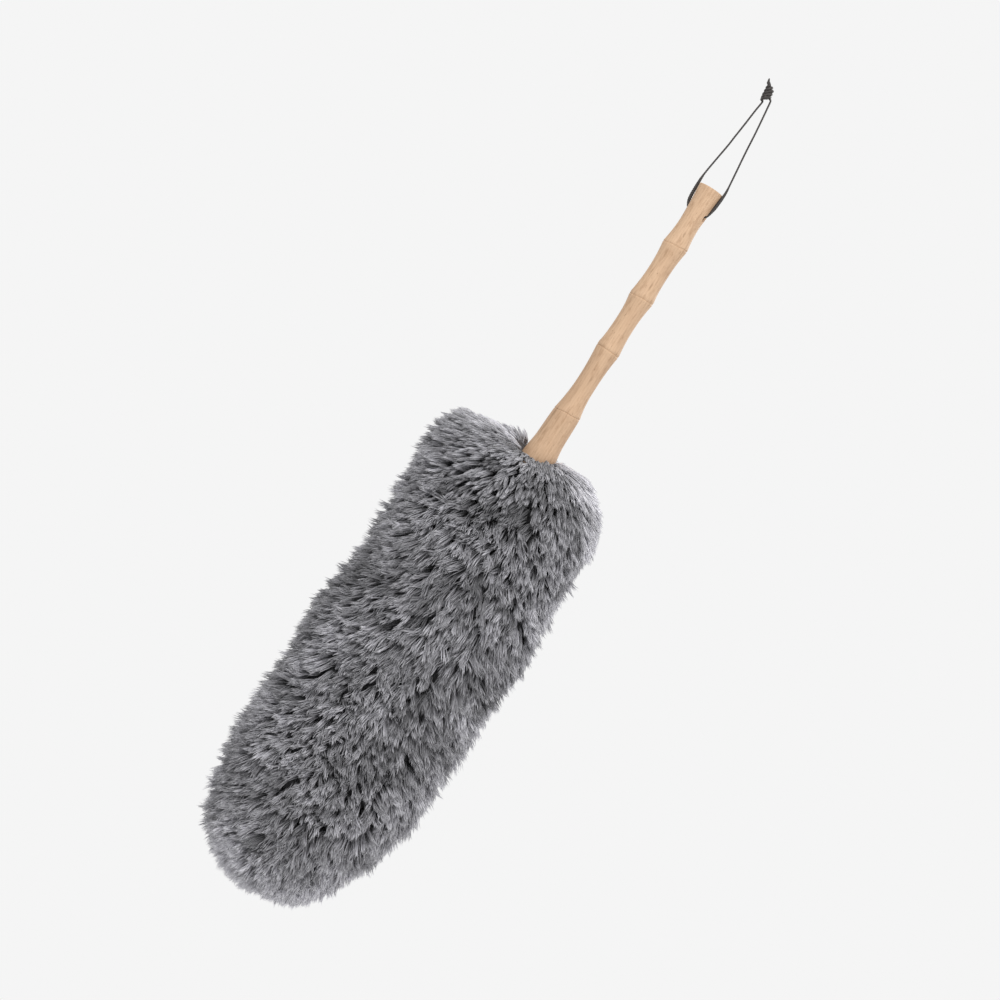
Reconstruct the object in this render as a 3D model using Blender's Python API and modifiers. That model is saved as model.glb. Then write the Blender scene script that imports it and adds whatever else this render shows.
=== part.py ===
"""A hand duster: a plush head wound on a rod, a turned handle shaped like bamboo, and a tied hanging cord.

Run it with blender --background --python part.py, or from Blender's text editor. Lengths are in metres and
+Z is up. The duster hangs by its cord, and the origin is the point inside the loop that rests on the hook.
"""

import math
import random

import bmesh
import bpy
from mathutils import Matrix, Vector

# The small space left between pieces that touch, and how far a cutter runs past what it cuts
touch_gap = 0.0003
cut_overrun = 0.002

# Handle: one turned stick, from its flared end down to its bell-shaped foot. Each stretch between two nodes
# draws in to a waist, and a fine groove runs round it just below each node's ridge.
end_diameter = 0.0190
end_crown = 0.0007
waist_diameters = (0.0153, 0.0155, 0.0150, 0.0150)
internode_lengths = (0.0472, 0.0433, 0.0441, 0.0548)
node_diameters = (0.0186, 0.0185, 0.0179, 0.0200)
foot_length = 0.0489
foot_diameter = 0.0256
groove_drops = (0.0006, 0.0019, 0.0016, 0.0002)
groove_depth = 0.00030
groove_width = 0.0013

# Cross-bore for the cord, with its mouths rounded so that the cord isn't cut
bore_from_end = 0.0213
bore_diameter = 0.0036
mouth_rounding = 0.00205
mouth_sweep = math.radians(68)

# Hanging cord: from the knot, down the left flank, through the bore, up the right flank, to the knot
loop_drop = 0.0950
cord_diameter = 0.0014
cord_route = (
    (-0.00364, 0.0932),
    (-0.00470, 0.0849),
    (-0.00575, 0.0735),
    (-0.00697, 0.0622),
    (-0.00770, 0.0545),
    (-0.00922, 0.0422),
    (-0.01075, 0.0308),
    (-0.01130, 0.0250),
    (-0.01125, 0.0194),
    (-0.01100, 0.0150),
    (-0.01060, 0.0110),
    (-0.01010, 0.0080),
    (-0.00980, 0.0054),
    (-0.00930, 0.0031),
    (-0.00820, 0.0014),
    (-0.00660, 0.0009),
    (-0.00450, 0.0008),
    (0.0, 0.0008),
    (0.00450, 0.0008),
    (0.00660, 0.0009),
    (0.00820, 0.0014),
    (0.00930, 0.0031),
    (0.00975, 0.0054),
    (0.00995, 0.0080),
    (0.01010, 0.0110),
    (0.01025, 0.0152),
    (0.01050, 0.0194),
    (0.01050, 0.0245),
    (0.00975, 0.0308),
    (0.00826, 0.0422),
    (0.00645, 0.0560),
    (0.00518, 0.0678),
    (0.00375, 0.0792),
    (0.00213, 0.0906),
    (0.00130, 0.0965),
)
cord_step = 0.0030

# Knot: both ends of the cord bundled, wrapped twice with a crossing turn over the wraps, and cut off short.
# The cord swells where it is knotted.
knot_height = 0.0108
knot_lean = math.radians(27.8)
knotted_diameter = 0.0019
strand_lead = 0.0014
strand_spacing = 0.0012
bundle_shares = (0.42, 0.70, 1.0)
tail_pinch_share = 0.8
long_tail = 0.0050
short_tail = 0.0028
wrap_thickness = 0.0021
wrap_diameter = 0.0070
crossing_diameter = 0.0076
wrap_tilt = math.radians(24)
wrap_height_shares = (0.34, 0.68)
crossing_height_share = 0.51

# Core dowel: glued into the handle's foot, it carries the head
core_diameter = 0.0100
socket_depth = 0.0300
core_tip_cover = 0.0180

# Tacks that hold the strip's two ends on the core
backing_thickness = 0.0015
tack_head_diameter = 0.0060
tack_head_thickness = 0.0008
tack_shank_diameter = 0.0014
tack_bite = 0.0035
tack_from_end = 0.0120

# Plush head: a strip of long pile wound on the core, turn beside turn, with the tip closed over the rod
head_diameter = 0.1470
head_length = 0.3800
foot_sunk = 0.0190
tuft_length = 0.0215
shoulder_depth = 0.0290
tip_depth = 0.0590
side_turns = 7
tufts_around = 17

# Round pieces are drawn with these numbers of sides
handle_sides = 24
round_sides = 24
small_sides = 12
wrap_sides = 9
cord_resolution = 2


def clear_the_scene():
    for item in list(bpy.data.objects):
        bpy.data.objects.remove(item, do_unlink=True)


def new_collection(name):
    collection = bpy.data.collections.new(name)
    bpy.context.scene.collection.children.link(collection)
    return collection


def finish(name, colour, roughness, metallic=0.0):
    """A plain material: its colour, roughness and whether it is metal."""
    material = bpy.data.materials.new(name)
    material.use_nodes = True
    shader = material.node_tree.nodes["Principled BSDF"]
    shader.inputs["Base Color"].default_value = (*colour, 1.0)
    shader.inputs["Roughness"].default_value = roughness
    shader.inputs["Metallic"].default_value = metallic
    return material


def add_object(name, data, collection, material=None, at=(0, 0, 0)):
    item = bpy.data.objects.new(name, data)
    item.location = at
    collection.objects.link(item)
    if material is not None:
        data.materials.append(material)
    return item


def as_cutter(item):
    item.display_type = "WIRE"
    item.hide_render = True
    return item


def turned(name, profile, sides, collection, material=None, at=(0, 0, 0)):
    """A turned piece: its profile, as (radius, height) from top to bottom, swept once round Z."""
    mesh = bpy.data.meshes.new(name)
    points = [(radius, 0, height) for radius, height in profile]
    mesh.from_pydata(points, [(i, i + 1) for i in range(len(points) - 1)], [])
    item = add_object(name, mesh, collection, material, at)
    screw = item.modifiers.new("turn", "SCREW")
    screw.steps = screw.render_steps = sides
    screw.use_merge_vertices = True
    screw.merge_threshold = touch_gap / 30
    screw.use_smooth_shade = True
    return item


def boolean(item, other, operation="DIFFERENCE"):
    modifier = item.modifiers.new(operation.lower(), "BOOLEAN")
    modifier.operation = operation
    modifier.object = other


def as_mesh(item):
    """A curve object turned into a mesh object with its end caps joined on."""
    evaluated = item.evaluated_get(bpy.context.evaluated_depsgraph_get())
    mesh = bpy.data.meshes.new_from_object(evaluated)
    shape = bmesh.new()
    shape.from_mesh(mesh)
    bmesh.ops.remove_doubles(shape, verts=shape.verts, dist=touch_gap / 30)
    shape.to_mesh(mesh)
    shape.free()
    name = item.name
    solid = bpy.data.objects.new(name, mesh)
    solid.matrix_world = item.matrix_world
    item.users_collection[0].objects.link(solid)
    bpy.data.objects.remove(item, do_unlink=True)
    solid.name = name
    return solid


def smooth_route(points, step):
    """Points a step apart along a smooth curve through the route's own points."""
    ends = [2 * points[0] - points[1], *points, 2 * points[-1] - points[-2]]
    fine = []
    for before, start, end, after in zip(ends, ends[1:], ends[2:], ends[3:]):
        parts = 16
        for i in range(parts):
            t = i / parts
            leaving = (end - before) / 2
            arriving = (after - start) / 2
            fine.append(
                start * (2 * t**3 - 3 * t**2 + 1)
                + leaving * (t**3 - 2 * t**2 + t)
                + end * (3 * t**2 - 2 * t**3)
                + arriving * (t**3 - t**2)
            )
    fine.append(points[-1])
    lengths = [0.0]
    for start, end in zip(fine, fine[1:]):
        lengths.append(lengths[-1] + (end - start).length)
    count = round(lengths[-1] / step)
    route, i = [], 0
    for k in range(count + 1):
        wanted = lengths[-1] * k / count
        while i < len(fine) - 2 and lengths[i + 1] < wanted:
            i += 1
        share = (wanted - lengths[i]) / (lengths[i + 1] - lengths[i])
        route.append(fine[i].lerp(fine[i + 1], share))
    return route


def tube(name, route, diameters, collection, material=None, at=(0, 0, 0)):
    """A round cord along a route of points, closed at both ends, with a diameter for each point."""
    curve = bpy.data.curves.new(name, "CURVE")
    curve.dimensions = "3D"
    curve.bevel_depth = cord_diameter / 2
    curve.bevel_resolution = cord_resolution
    curve.use_fill_caps = True
    spline = curve.splines.new("POLY")
    spline.points.add(len(route) - 1)
    for point, place, diameter in zip(spline.points, route, diameters):
        point.co = (*place, 1.0)
        point.radius = diameter / cord_diameter
    return add_object(name, curve, collection, material, at)


clear_the_scene()
duster = new_collection("hand_duster")
cutters = new_collection("cutters")

wood = finish("turned_wood", (0.68, 0.46, 0.28), 0.5)
dowel_wood = finish("dowel_wood", (0.60, 0.44, 0.28), 0.7)
waxed_cord = finish("waxed_cord", (0.03, 0.025, 0.022), 0.55)
plush = finish("plush_pile", (0.16, 0.16, 0.18), 0.95)
steel = finish("tack_steel", (0.55, 0.55, 0.56), 0.35, 1.0)

# Heights that follow from the driving sizes
end_height = bore_from_end - loop_drop
handle_length = sum(internode_lengths) + foot_length
foot_height = end_height - handle_length
head_top = foot_height + foot_sunk
head_tip = head_top - head_length


# Handle: its outline runs from the crowned end, through four stretches and their nodes, to the foot
rim_shares = ((0.0, 1.0), (0.55, 0.86), (0.84, 0.55), (0.96, 0.22), (1.0, 0.0))
flare_shares = (0.14, 0.28, 0.42, 0.56, 0.70, 0.82, 0.91, 0.96, 1.0)
flare_end_share, flare_power = 0.62, 1.3
stretch_shares = (0.0, 0.06, 0.14, 0.24, 0.36, 0.5, 0.64, 0.76, 0.86, 0.94, 1.0)
stretch_power = 2.3
foot_shares = ((0.16, 0.10), (0.32, 0.17), (0.46, 0.27), (0.56, 0.46), (0.66, 0.72), (0.8, 0.93), (1.0, 1.0))


def flared_end():
    """The crowned end and the stretch below it, down to the first node's ridge."""
    rim, end_radius = end_height - end_crown, end_diameter / 2
    waist, ridge = waist_diameters[0] / 2, node_diameters[0] / 2
    outline = [(end_radius * out, rim + end_crown * up) for out, up in rim_shares]
    for share in flare_shares:
        if share < flare_end_share:
            radius = waist + (end_radius - waist) * (1 - share / flare_end_share) ** flare_power
        else:
            radius = waist + (ridge - waist) * ((share - flare_end_share) / (1 - flare_end_share)) ** 2
        outline.append((radius, rim - (internode_lengths[0] - end_crown) * share))
    return outline


def groove(ridge, height, drop):
    """The groove just below a ridge. Its last point is where the next stretch starts."""
    top = height - drop
    return [(ridge, top), (ridge - groove_depth, top - groove_width / 2), (ridge, top - groove_width)]


def stretch(start, end_at, waist):
    """The outline from just below one ridge to the next ridge, drawn in to a waist between them."""
    (upper, top), (lower, bottom) = start, end_at
    outline = []
    for share in stretch_shares[1:]:
        ridge = upper if share < 0.5 else lower
        swell = abs(1 - 2 * share) ** stretch_power
        outline.append((waist + (ridge - waist) * swell, top + (bottom - top) * share))
    return outline


def handle_outline():
    outline = flared_end()
    height = end_height - internode_lengths[0]
    for number, (ridge, drop) in enumerate(zip(node_diameters, groove_drops)):
        outline += groove(ridge / 2, height, drop)
        if number < len(node_diameters) - 1:
            height -= internode_lengths[number + 1]
            next_ridge = (node_diameters[number + 1] / 2, height)
            outline += stretch(outline[-1], next_ridge, waist_diameters[number + 1] / 2)
    last_ridge, top = outline[-1]
    for down, out in foot_shares:
        radius = last_ridge + (foot_diameter / 2 - last_ridge) * out
        outline.append((radius, top - (top - foot_height) * down))
    return [*outline, (0.0, foot_height)]


handle = turned("handle", handle_outline(), handle_sides, duster, wood)

# The cord's bore runs across the handle along X, and each mouth opens out as an arc
bore_radius = bore_diameter / 2
neck_radius = waist_diameters[0] / 2
arc_start = neck_radius - mouth_rounding * math.sin(mouth_sweep)
arc_steps = 4
mouth = []
for step in range(arc_steps + 1):
    angle = mouth_sweep * step / arc_steps
    mouth.append(
        (bore_radius + mouth_rounding * (1 - math.cos(angle)), arc_start + mouth_rounding * math.sin(angle))
    )
widest, outside = mouth[-1][0], mouth[-1][1] + cut_overrun
bore_outline = [(0.0, outside), (widest, outside), *reversed(mouth)]
bore_outline += [(radius, -along) for radius, along in mouth]
bore_outline += [(widest, -outside), (0.0, -outside)]
bore_height = -loop_drop
bore_cutter = as_cutter(turned("bore_cutter", bore_outline, round_sides, cutters, at=(0, 0, bore_height)))
bore_cutter.rotation_euler.y = math.radians(90)
boolean(handle, bore_cutter)

# The core's socket is a blind hole up the middle of the foot
core_radius = core_diameter / 2
socket_radius = core_radius + touch_gap
socket_top = foot_height + socket_depth
socket_outline = [(0.0, socket_top), (socket_radius, socket_top)]
socket_outline += [(socket_radius, foot_height - cut_overrun), (0.0, foot_height - cut_overrun)]
boolean(handle, as_cutter(turned("socket_cutter", socket_outline, round_sides, cutters)))

# Plush head: the outline of the pile's base, and where one turn of the strip ends and the next begins
cell_angle = 2 * math.pi / tufts_around
facet_share = 1 / math.cos(cell_angle / 2)
foot_opening = (foot_diameter / 2 + touch_gap) * facet_share
side_lean, top_lean = math.radians(34), math.radians(62)
tuft_curl = math.radians(11)
tuft_level_shares = ((0.34, 0.93), (0.68, 0.66), (1.0, 0.0))
shortest_tuft_share, longest_tuft_share, swing_share = 0.88, 1.08, 0.05
side_reach_share, top_reach_share, tip_reach_share = 0.70, 0.30, 0.76
tip_shortening_share = 0.24
base_radius = head_diameter / 2 - tuft_length * side_reach_share
base_top = head_top - tuft_length * top_reach_share
base_tip = head_tip + tuft_length * tip_reach_share
turn_pitch = (base_top - base_tip - tip_depth) / side_turns
rows_a_turn = 2
top_ring_shares = ((0.0, 0.0), (0.34, 0.05), (0.64, 0.17), (0.87, 0.46), (1.0, 1.0))
shoulder_rows = 2
top_rows = len(top_ring_shares) - 1 + shoulder_rows
tip_slopes = [math.radians(angle) for angle in (21, 41, 59, 76)]


def base_rings():
    """Radius and height of each ring of the pile's base, from the handle's foot to the tip."""
    rings = []
    for out, down in top_ring_shares:
        rings.append((foot_opening + (base_radius - foot_opening) * out, base_top - shoulder_depth * down))
    shoulder, first_end = rings[-1][1], base_top - turn_pitch
    for row in range(1, shoulder_rows + 1):
        rings.append((base_radius, shoulder + (first_end - shoulder) * row / shoulder_rows))
    for row in range(1, (side_turns - 1) * rows_a_turn + 1):
        rings.append((base_radius, first_end - turn_pitch * row / rows_a_turn))
    cap = base_tip + tip_depth
    for slope in tip_slopes:
        rings.append((base_radius * math.cos(slope), cap - tip_depth * math.sin(slope)))
    return [*rings, (0.0, base_tip)]


rings = base_rings()
turn_starts = [0, *range(top_rows, top_rows + (side_turns + 1) * rows_a_turn, rows_a_turn)]

# Core dowel: it fills the socket and runs down the middle of the head almost to its tip
core_top = socket_top - touch_gap
core_end = head_tip + core_tip_cover
core_edge = core_diameter / 10
core_outline = [(0.0, core_top), (core_radius - core_edge, core_top), (core_radius, core_top - core_edge)]
core_outline += [(core_radius, core_end + core_edge), (core_radius - core_edge, core_end), (0.0, core_end)]
core = turned("core_dowel", core_outline, round_sides, duster, dowel_wood)

# Tacks: driven from the back through the strip's backing, one near each end of the strip
upper_tack_height = foot_height - tack_from_end
lower_tack_height = rings[turn_starts[-1]][1] + tack_from_end
shank_radius, tack_radius = tack_shank_diameter / 2, tack_head_diameter / 2
seat = core_radius + backing_thickness
tip_out = core_radius - tack_bite
tip_cone = tack_bite / 3


def tack_outline(clear, over):
    """The tack from its head to its point, or the hole for it when it has clearance."""
    top = seat + tack_head_thickness + over
    return [
        (0.0, top),
        (tack_radius + clear, top - tack_head_thickness / 4),
        (tack_radius + clear, seat - clear),
        (shank_radius + clear, seat - clear),
        (shank_radius + clear, tip_out + tip_cone - clear),
        (0.0, tip_out - 2 * clear),
    ]


tack_holes = {}
for place, height in (("upper", upper_tack_height), ("lower", lower_tack_height)):
    tack = turned(f"strip_tack_{place}", tack_outline(0, 0), small_sides, duster, steel, at=(0, 0, height))
    tack.rotation_euler.x = math.radians(-90)
    hole_outline = tack_outline(touch_gap, touch_gap)
    hole = turned(f"{place}_tack_hole", hole_outline, small_sides, cutters, at=(0, 0, height))
    hole.rotation_euler.x = math.radians(-90)
    tack_holes[place] = as_cutter(hole)
    boolean(core, tack_holes[place])

# Hanging cord: one unbroken cord that lies along the top of the bore and hugs both flanks of the flared end
route = [Vector((across, 0.0, up)) for across, up in cord_route]
cord_points = smooth_route(route, cord_step)
at_bore = (0, 0, bore_height)
cord = tube("hanging_cord", cord_points, [cord_diameter] * len(cord_points), duster, waxed_cord, at_bore)

# Knot: the two strands go on from the cord's ends, up through three tilted wraps, and end in two tails
left_end, right_end = route[0], route[-1]
knot_foot = (left_end + right_end) / 2
knot_turn = Matrix.Rotation(-knot_lean, 4, "Y")


def strand(end, before, side, tail):
    """One strand inside the knot, from the end of the cord to its own cut tail."""
    onward = (end - before).normalized()
    across = side * strand_spacing / 2
    bundled = [(across, knot_height * up) for up in bundle_shares]
    bundled.append((across * tail_pinch_share, knot_height + tail))
    points = [end + onward * touch_gap, end + onward * strand_lead]
    return points + [knot_foot + knot_turn @ Vector((out, 0, up)) for out, up in bundled]


def knotted(name, route, collection):
    """A strand as a solid: as thin as the free cord where it enters the knot, and swollen in the knot."""
    diameters = [cord_diameter] + [knotted_diameter] * (len(route) - 1)
    return as_mesh(tube(name, route, diameters, collection, waxed_cord, at_bore))


def add_wrap(name, height_share, lean, diameter):
    """One round turn of the cord about the two strands."""
    bpy.ops.mesh.primitive_torus_add(
        major_radius=(diameter - wrap_thickness) / 2,
        minor_radius=wrap_thickness / 2,
        major_segments=round_sides,
        minor_segments=wrap_sides,
    )
    wrap = bpy.context.object
    wrap.name = name
    wrap.users_collection[0].objects.unlink(wrap)
    cutters.objects.link(wrap)
    middle = knot_foot + knot_turn @ Vector((0, 0, knot_height * height_share))
    wrap.location = Vector(at_bore) + middle
    wrap.rotation_euler = (0, wrap_tilt * lean - knot_lean, 0)
    return wrap


knot = knotted("cord_knot", strand(right_end, cord_points[-2], 1, long_tail), duster)
left_strand = knotted("left_strand", strand(left_end, cord_points[1], -1, short_tail), cutters)
wraps = [
    add_wrap("lower_wrap", wrap_height_shares[0], 1, wrap_diameter),
    add_wrap("upper_wrap", wrap_height_shares[1], 1, wrap_diameter),
    add_wrap("crossing_wrap", crossing_height_share, -1, crossing_diameter),
]
for item in (left_strand, *wraps):
    boolean(knot, as_cutter(item), "UNION")


# Plush head: each turn of the strip is a ring of dense pile round the core, with rows of tufts grown from it
def ring(pile, radius, height, row):
    """The corners of one ring, each row turned half a tuft from the last so that the tufts stagger."""
    if radius == 0:
        return [pile.verts.new((0, 0, height))] * tufts_around
    corners = []
    for i in range(tufts_around):
        angle = cell_angle * (i + row / 2)
        corners.append(pile.verts.new((radius * math.cos(angle), radius * math.sin(angle), height)))
    return corners


def band(pile, upper, lower, shift=0):
    """The faces between two rings, seen from outside with the upper ring on top."""
    faces = []
    for i in range(tufts_around):
        j = (i + 1) % tufts_around
        corners = [upper[j], upper[i], lower[(i + shift) % tufts_around], lower[(j + shift) % tufts_around]]
        faces.append(pile.faces.new(list(dict.fromkeys(corners))))
    return faces


def grow_tuft(pile, face, upper, lower, length, swing):
    """Draws one cell of the base out into a tuft that leans and curls towards the tip."""
    place, width, reached = face.calc_center_median(), 1.0, 0.0
    outward = Vector((place.x, place.y, 0)).normalized()
    up = Vector((0, 0, 1))
    slope = Vector((lower[0] - upper[0], lower[1] - upper[1])).normalized()
    forward = outward * slope.x + up * slope.y
    away = up * slope.x - outward * slope.y
    around = up.cross(outward)
    lean = side_lean + (top_lean - side_lean) * slope.x if slope.x > 0 else side_lean * (1 + slope.x)
    length *= 1 + tip_shortening_share * min(slope.x, 0)
    for number, (share, wide) in enumerate(tuft_level_shares):
        angle = lean + tuft_curl * number * (1 - abs(slope.x))
        direction = away * math.cos(angle) + forward * math.sin(angle) + around * swing
        centre, place = place, place + direction.normalized() * length * (share - reached)
        reached = share
        if wide == 0:
            bmesh.ops.poke(pile, faces=[face])["verts"][0].co = place
        else:
            face = bmesh.ops.extrude_discrete_faces(pile, faces=[face])["faces"][0]
            for corner in face.verts:
                corner.co = place + (corner.co - centre) * wide / width
            width = wide


def pile_turn(number, first, last):
    """One turn of the strip, between two of the base's rings."""
    pile = bmesh.new()
    top_turn, tip_turn = first == 0, last == len(rings) - 1
    heights = [height for _, height in rings[first : last + 1]]
    if not top_turn:
        heights[0] -= touch_gap / 2
    if not tip_turn:
        heights[-1] += touch_gap / 2
    outer = [
        ring(pile, rings[row][0], height, row) for row, height in zip(range(first, last + 1), heights)
    ]
    cells = [band(pile, upper, lower) for upper, lower in zip(outer, outer[1:])]
    if top_turn:
        bore_top = ring(pile, pile_bore, foot_height - touch_gap, first)
        recess = ring(pile, foot_opening, foot_height - touch_gap, first)
        band(pile, recess, outer[0])
        band(pile, bore_top, recess)
    else:
        bore_top = ring(pile, pile_bore, heights[0], first)
        band(pile, bore_top, outer[0])
    if tip_turn:
        bore_end = ring(pile, pile_bore, core_end - touch_gap, first)
        pile.faces.new(bore_end)
        band(pile, bore_end, bore_top)
    else:
        bore_end = ring(pile, pile_bore, heights[-1], last)
        band(pile, outer[-1], bore_end)
        band(pile, bore_end, bore_top, (last - first) // 2)
    for row, faces in zip(range(first, last), cells):
        for face in faces:
            length = tuft_length * dice.uniform(shortest_tuft_share, longest_tuft_share)
            swing = dice.uniform(-swing_share, swing_share)
            grow_tuft(pile, face, rings[row], rings[row + 1], length, swing)
    bmesh.ops.recalc_face_normals(pile, faces=pile.faces)
    mesh = bpy.data.meshes.new(f"plush_turn_{number:02d}")
    pile.to_mesh(mesh)
    pile.free()
    return add_object(mesh.name, mesh, duster, plush)


dice = random.Random(11)
pile_bore = (core_radius + touch_gap) * facet_share
turns = []
for number, (first, last) in enumerate(zip(turn_starts, [*turn_starts[1:], len(rings) - 1]), 1):
    turns.append(pile_turn(number, first, last))
boolean(turns[0], tack_holes["upper"])
boolean(turns[-2], tack_holes["lower"])
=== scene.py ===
"""Studio scene of a hand duster: a cord loop, a wooden handle turned like bamboo and a long plush head."""

import math

import bpy
import numpy as np
from mathutils import Matrix, Vector
from mathutils.kdtree import KDTree


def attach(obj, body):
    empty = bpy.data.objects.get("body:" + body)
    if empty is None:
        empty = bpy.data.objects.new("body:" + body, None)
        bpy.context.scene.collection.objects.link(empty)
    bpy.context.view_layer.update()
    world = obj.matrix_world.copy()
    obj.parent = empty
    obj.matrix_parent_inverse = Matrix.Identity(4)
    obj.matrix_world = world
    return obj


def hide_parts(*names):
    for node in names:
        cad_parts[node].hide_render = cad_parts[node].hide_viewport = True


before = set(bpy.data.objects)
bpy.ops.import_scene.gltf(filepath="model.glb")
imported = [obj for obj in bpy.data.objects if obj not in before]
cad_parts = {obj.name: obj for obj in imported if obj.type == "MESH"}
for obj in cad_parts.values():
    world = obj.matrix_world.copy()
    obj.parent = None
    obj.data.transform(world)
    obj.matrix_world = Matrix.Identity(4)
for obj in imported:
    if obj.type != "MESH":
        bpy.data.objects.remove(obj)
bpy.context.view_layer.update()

# Camera: it stands level with the head and a little to the right of the front, and it is rolled, so that the
# hanging duster lies aslant across the picture with its tip at the lower left.
camera_azimuth = math.radians(21)
camera_roll = math.radians(32.85)
picture_width = 0.711
picture_middle = (-0.0067, -0.341)
lens_length, film_width = 100, 36

level_right = Vector((math.cos(camera_azimuth), math.sin(camera_azimuth), 0))
to_camera = Vector((math.sin(camera_azimuth), -math.cos(camera_azimuth), 0))
upright = Vector((0, 0, 1))
picture_right = level_right * math.cos(camera_roll) + upright * math.sin(camera_roll)
picture_up = upright * math.cos(camera_roll) - level_right * math.sin(camera_roll)

camera_data = bpy.data.cameras.new("camera")
camera_data.lens, camera_data.sensor_width = lens_length, film_width
camera = bpy.data.objects.new("camera", camera_data)
bpy.context.scene.collection.objects.link(camera)
stands_at = level_right * picture_middle[0] + upright * picture_middle[1]
stands_at += to_camera * (picture_width * lens_length / film_width)
turned_to_view = Matrix((picture_right, picture_up, to_camera)).transposed()
camera.matrix_world = Matrix.Translation(stands_at) @ turned_to_view.to_4x4()
bpy.context.scene.camera = camera

# Hanging cord: one length of thin waxed cord, laid from three plies. It goes from the knot down the left
# flank of the handle's end, through the cross-bore and up the right flank to the knot. Along the flanks it is
# drawn wider: partly its plies spread where they bend round the wood, partly a painted shadow, the dark
# contact shade between cord and wood drawn as more cord.
bore_height = -0.0950
cord_diameter = 0.0014
cord_route = (
    (-0.00364, 0.0932),
    (-0.00470, 0.0849),
    (-0.00575, 0.0735),
    (-0.00697, 0.0622),
    (-0.00770, 0.0545),
    (-0.00945, 0.0422),
    (-0.01100, 0.0308),
    (-0.01140, 0.0250),
    (-0.01131, 0.0194),
    (-0.01106, 0.0150),
    (-0.01085, 0.0110),
    (-0.01020, 0.0066),
    (-0.00930, 0.0042),
    (-0.00820, 0.0022),
    (-0.00660, 0.0011),
    (-0.00450, 0.0009),
    (0.0, 0.0009),
    (0.00450, 0.0009),
    (0.00660, 0.0011),
    (0.00810, 0.0024),
    (0.00885, 0.0047),
    (0.00930, 0.0069),
    (0.00990, 0.0110),
    (0.01020, 0.0152),
    (0.01045, 0.0194),
    (0.01046, 0.0245),
    (0.00975, 0.0308),
    (0.00826, 0.0422),
    (0.00645, 0.0560),
    (0.00518, 0.0678),
    (0.00375, 0.0792),
    (0.00213, 0.0906),
    (0.00130, 0.0965),
)
ply_count, ply_lay, ply_depth = 3, 0.0052, 0.16
cord_rim_points, cord_row_step = 18, 0.00035
# How much wider the cord is drawn on each flank, by height above the bore: spread plies and painted shadow
right_flank_widening = ((0.002, 0.0055, 0.010, 0.017, 0.0225, 0.029), (0, 0.3, 0.8, 0.8, 0.5, 0))
left_flank_widening = ((0.001, 0.0045, 0.008, 0.016, 0.0225, 0.029), (0, 0.5, 0.95, 0.92, 0.60, 0))


def smooth_line(points, step):
    """Points a step apart on a smooth curve through the given ones."""
    points = np.asarray(points, float)
    points = np.vstack([2 * points[0] - points[1], points, 2 * points[-1] - points[-2]])
    share = np.linspace(0, 1, 24, endpoint=False)[:, None]
    before, start, end, after = points[:-3], points[1:-2], points[2:-1], points[3:]
    fine = [
        a * (2 * share**3 - 3 * share**2 + 1)
        + (b - z) / 2 * (share**3 - 2 * share**2 + share)
        + b * (3 * share**2 - 2 * share**3)
        + (c - a) / 2 * (share**3 - share**2)
        for z, a, b, c in zip(before, start, end, after)
    ]
    fine = np.vstack([*fine, points[-2:-1]])
    run = np.concatenate([[0.0], np.cumsum(np.linalg.norm(np.diff(fine, axis=0), axis=1))])
    wanted = np.linspace(0, run[-1], max(2, round(run[-1] / step) + 1))
    return np.stack([np.interp(wanted, run, fine[:, axis]) for axis in range(3)], axis=1)


def unit(vectors):
    return vectors / np.linalg.norm(vectors, axis=-1, keepdims=True)


def directions_along(line):
    """At each point of a line, its direction and two directions across it that don't turn about it."""
    ahead = unit(np.gradient(line, axis=0))
    first = np.cross(ahead[0], (0.0, 1.0, 0.0))
    across = [unit(first if np.linalg.norm(first) > 0.1 else np.cross(ahead[0], (1.0, 0.0, 0.0)))]
    for direction in ahead[1:]:
        across.append(unit(across[-1] - direction * np.dot(across[-1], direction)))
    across = np.array(across)
    return ahead, across, np.cross(ahead, across)


def new_piece(name, points, faces, smooth=True):
    mesh = bpy.data.meshes.new(name)
    mesh.from_pydata([tuple(point) for point in points], [], faces)
    if smooth:
        mesh.shade_smooth()
    piece = bpy.data.objects.new(name, mesh)
    bpy.context.scene.collection.objects.link(piece)
    return piece


def laid_cord(line, widths, start=0):
    """Points and faces of a cord of twisted plies along a line, closed at both ends. widths has a share of
    the cord's own width for each point of the line, across the loop's plane and along it."""
    ahead, across, deep = directions_along(line)
    run = np.concatenate([[0.0], np.cumsum(np.linalg.norm(np.diff(line, axis=0), axis=1))])
    angle = np.linspace(0, 2 * math.pi, cord_rim_points, endpoint=False)
    lobe = np.abs(np.cos((angle[None, :] - 2 * math.pi * run[:, None] / ply_lay) * ply_count / 2))
    radius = cord_diameter / 2 * (1 - ply_depth * (1 - lobe))
    out = (radius * np.cos(angle))[..., None] * across[:, None] * widths[:, 0, None, None]
    out = out + (radius * np.sin(angle))[..., None] * deep[:, None] * widths[:, 1, None, None]
    rows = (line[:, None] + out).reshape(-1, 3)
    count, n = len(line), cord_rim_points
    faces = []
    for row in range(count - 1):
        for column in range(n):
            one, two = row * n + column, row * n + (column + 1) % n
            faces.append((start + one, start + two, start + two + n, start + one + n))
    ends = np.array([line[0] - ahead[0] * cord_diameter / 6, line[-1] + ahead[-1] * cord_diameter / 6])
    first_end, last_end = start + count * n, start + count * n + 1
    for column in range(n):
        one, two = column, (column + 1) % n
        faces.append((start + two, start + one, first_end))
        faces.append((start + one + (count - 1) * n, start + two + (count - 1) * n, last_end))
    return np.vstack([rows, ends]), faces


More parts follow.
